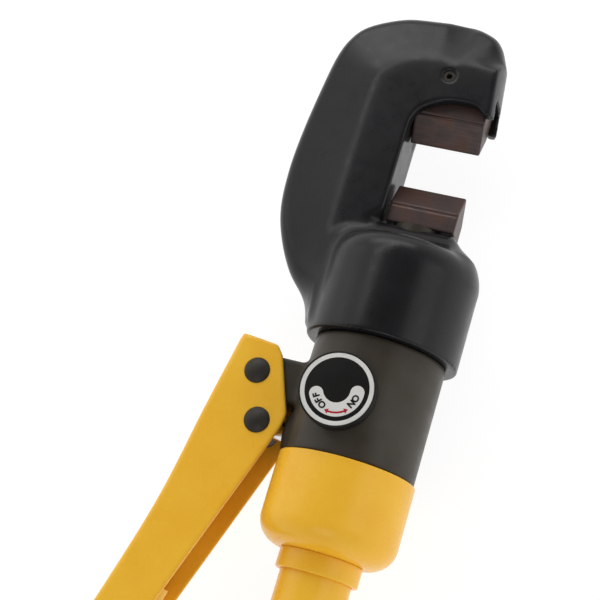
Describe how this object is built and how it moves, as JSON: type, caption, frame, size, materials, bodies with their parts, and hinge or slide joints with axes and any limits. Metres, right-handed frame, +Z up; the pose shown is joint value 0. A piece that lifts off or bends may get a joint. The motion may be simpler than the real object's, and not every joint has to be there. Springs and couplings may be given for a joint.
{
  "type": "hydraulic crimping tool",
  "caption": "Hand-pumped hydraulic crimping tool with an open C head, wedge dies, a release knob, a round reservoir handle and a pump lever.",
  "frame": {"origin": "middle of the main handle's grip, on the tool's long axis", "axes": "+Y along the tool towards the head, +X towards the open side of the jaw, +Z up out of the release knob, with the tool lying on its side"},
  "size_m": [0.1567, 0.4298, 0.0714],
  "materials": {
    "head_enamel": "gloss black enamel over a rough forging",
    "body_black": "satin black oxide and oil",
    "yellow_enamel": "warm yellow powder coat, semi gloss",
    "die_steel": "heat-tinted tool steel, brown",
    "ram_steel": "ground and hard chromed",
    "bright_steel": "bright machined steel",
    "black_steel": "blackened steel",
    "spring_steel": "oil-tempered wire",
    "bronze": "machined bronze",
    "seal_rubber": "moulded nitrile rubber",
    "grip_rubber": "matt moulded rubber",
    "knob_plastic": "moulded black plastic",
    "label_print": "printed white disc"
  },
  "bodies": {
    "frame": {"head_frame": "head_enamel", "fixed_die": "die_steel", "head_set_screw": "bright_steel", "guide_bush": "bronze", "rod_wiper": "seal_rubber", "cylinder_body": "body_black", "gland_nut": "bright_steel", "plunger_seal": "seal_rubber", "reservoir_cup": "yellow_enamel", "neck_ring": "yellow_enamel", "handle_tube": "yellow_enamel", "handle_grip": "grip_rubber", "end_plug": "knob_plastic", "oil_bladder": "seal_rubber", "bladder_ring": "bright_steel", "fill_plug": "knob_plastic", "suction_screen": "bronze", "intake_seat": "bright_steel", "outlet_retainer": "bright_steel", "relief_screw": "bright_steel", "intake_spring": "spring_steel", "outlet_spring": "spring_steel", "relief_spring": "spring_steel", "return_spring": "spring_steel"},
    "ram": {"ram": "ram_steel", "die_ring": "spring_steel", "piston_seal": "seal_rubber", "moving_die": "die_steel"},
    "lever": {"lever_channel": "yellow_enamel", "lever_tube": "yellow_enamel", "lever_grip": "grip_rubber", "pin_clips": "black_steel", "pivot_pin": "black_steel", "drive_pin": "black_steel"},
    "plunger": {"pump_plunger": "ram_steel"},
    "release_valve": {"release_knob": "knob_plastic", "knob_label": "label_print", "release_spindle": "bright_steel", "spindle_o_ring": "seal_rubber", "release_ball": "bright_steel"},
    "intake_ball": {"intake_ball": "bright_steel"},
    "outlet_ball": {"outlet_ball": "bright_steel"},
    "relief_ball": {"relief_ball": "bright_steel"}
  },
  "joints": [
    {"name": "ram_stroke", "type": "slide", "parent": "frame", "child": "ram", "axis": [0, 1, 0], "range_m": [0, 0.0215], "stiffness_N_per_m": 4000, "springref_m": -0.01, "deforming": ["return_spring"]},
    {"name": "lever_swing", "type": "hinge", "parent": "frame", "child": "lever", "pos_m": [-0.049, 0.184, 0], "axis": [0, 0, 1], "range_deg": [-35, 7]},
    {"name": "plunger_stroke", "type": "slide", "parent": "frame", "child": "plunger", "axis": [1, 0, 0], "range_m": [-0.0135, 0.0028]},
    {"name": "release_turn", "type": "hinge", "parent": "frame", "child": "release_valve", "pos_m": [-0.0062, 0.1793, 0.034], "axis": [0, 0, 1], "range_deg": [0, 90]},
    {"name": "intake_lift", "type": "slide", "parent": "frame", "child": "intake_ball", "axis": [0, 1, 0], "range_m": [0, 0.0008], "stiffness_N_per_m": 50, "springref_m": -0.001, "deforming": ["intake_spring"]},
    {"name": "outlet_lift", "type": "slide", "parent": "frame", "child": "outlet_ball", "axis": [0, 1, 0], "range_m": [0, 0.0008], "stiffness_N_per_m": 50, "springref_m": -0.001, "deforming": ["outlet_spring"]},
    {"name": "relief_lift", "type": "slide", "parent": "frame", "child": "relief_ball", "axis": [0, -1, 0], "range_m": [0, 0.0008], "stiffness_N_per_m": 80, "springref_m": -0.001, "deforming": ["relief_spring"]}
  ],
  "couplings": [
    {"joint": "plunger_stroke", "follows": "lever_swing", "m_per_rad": 0.0219}
  ]
}
